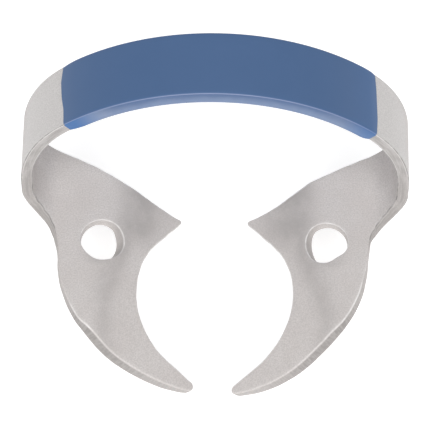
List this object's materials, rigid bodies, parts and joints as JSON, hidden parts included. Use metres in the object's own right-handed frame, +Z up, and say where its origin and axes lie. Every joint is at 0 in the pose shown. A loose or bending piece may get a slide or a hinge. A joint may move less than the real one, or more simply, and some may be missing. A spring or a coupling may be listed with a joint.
{
  "type": "rubber dam clamp",
  "caption": "Single-bow wingless clamp that grips a molar with pronged jaws and holds a rubber dam sheet; spreads with forceps in its holes.",
  "frame": {"origin": "on the axis of the tooth opening, level with the tips of the front prongs", "axes": "+Z up from the gum towards the bow, +X towards the right jaw, +Y towards the bow, away from the front prongs"},
  "size_m": [0.0274, 0.0201, 0.0192],
  "materials": {
    "spring_steel": "satin, tumbled",
    "colour_coat": "satin enamel"
  },
  "bodies": {
    "crown": {"bow_crown": "spring_steel", "colour_coat_crown": "colour_coat"},
    "shoulder_left": {"bow_shoulder_left": "spring_steel", "colour_coat_left": "colour_coat"},
    "shoulder_right": {"bow_shoulder_right": "spring_steel", "colour_coat_right": "colour_coat"},
    "jaw_side_left": {"bow_leg_left": "spring_steel", "jaw_left": "spring_steel"},
    "jaw_side_right": {"bow_leg_right": "spring_steel", "jaw_right": "spring_steel"}
  },
  "joints": [
    {"name": "crown_flex_left", "type": "hinge", "parent": "crown", "child": "shoulder_left", "pos_m": [-0.00602, 0.01107, 0.01753], "axis": [0, 0.9781, -0.2079], "range_deg": [0, 8]},
    {"name": "crown_flex_right", "type": "hinge", "parent": "crown", "child": "shoulder_right", "pos_m": [0.00602, 0.01107, 0.01753], "axis": [0, -0.9781, 0.2079], "range_deg": [0, 8]},
    {"name": "shoulder_flex_left", "type": "hinge", "parent": "shoulder_left", "child": "jaw_side_left", "pos_m": [-0.01303, 0.00976, 0.01134], "axis": [0, 0.9781, -0.2079], "range_deg": [0, 6]},
    {"name": "shoulder_flex_right", "type": "hinge", "parent": "shoulder_right", "child": "jaw_side_right", "pos_m": [0.01303, 0.00976, 0.01134], "axis": [0, -0.9781, 0.2079], "range_deg": [0, 6]}
  ],
  "couplings": [
    {"joint": "crown_flex_right", "follows": "crown_flex_left", "ratio": 1},
    {"joint": "shoulder_flex_left", "follows": "crown_flex_left", "ratio": 0.75},
    {"joint": "shoulder_flex_right", "follows": "crown_flex_left", "ratio": 0.75}
  ]
}
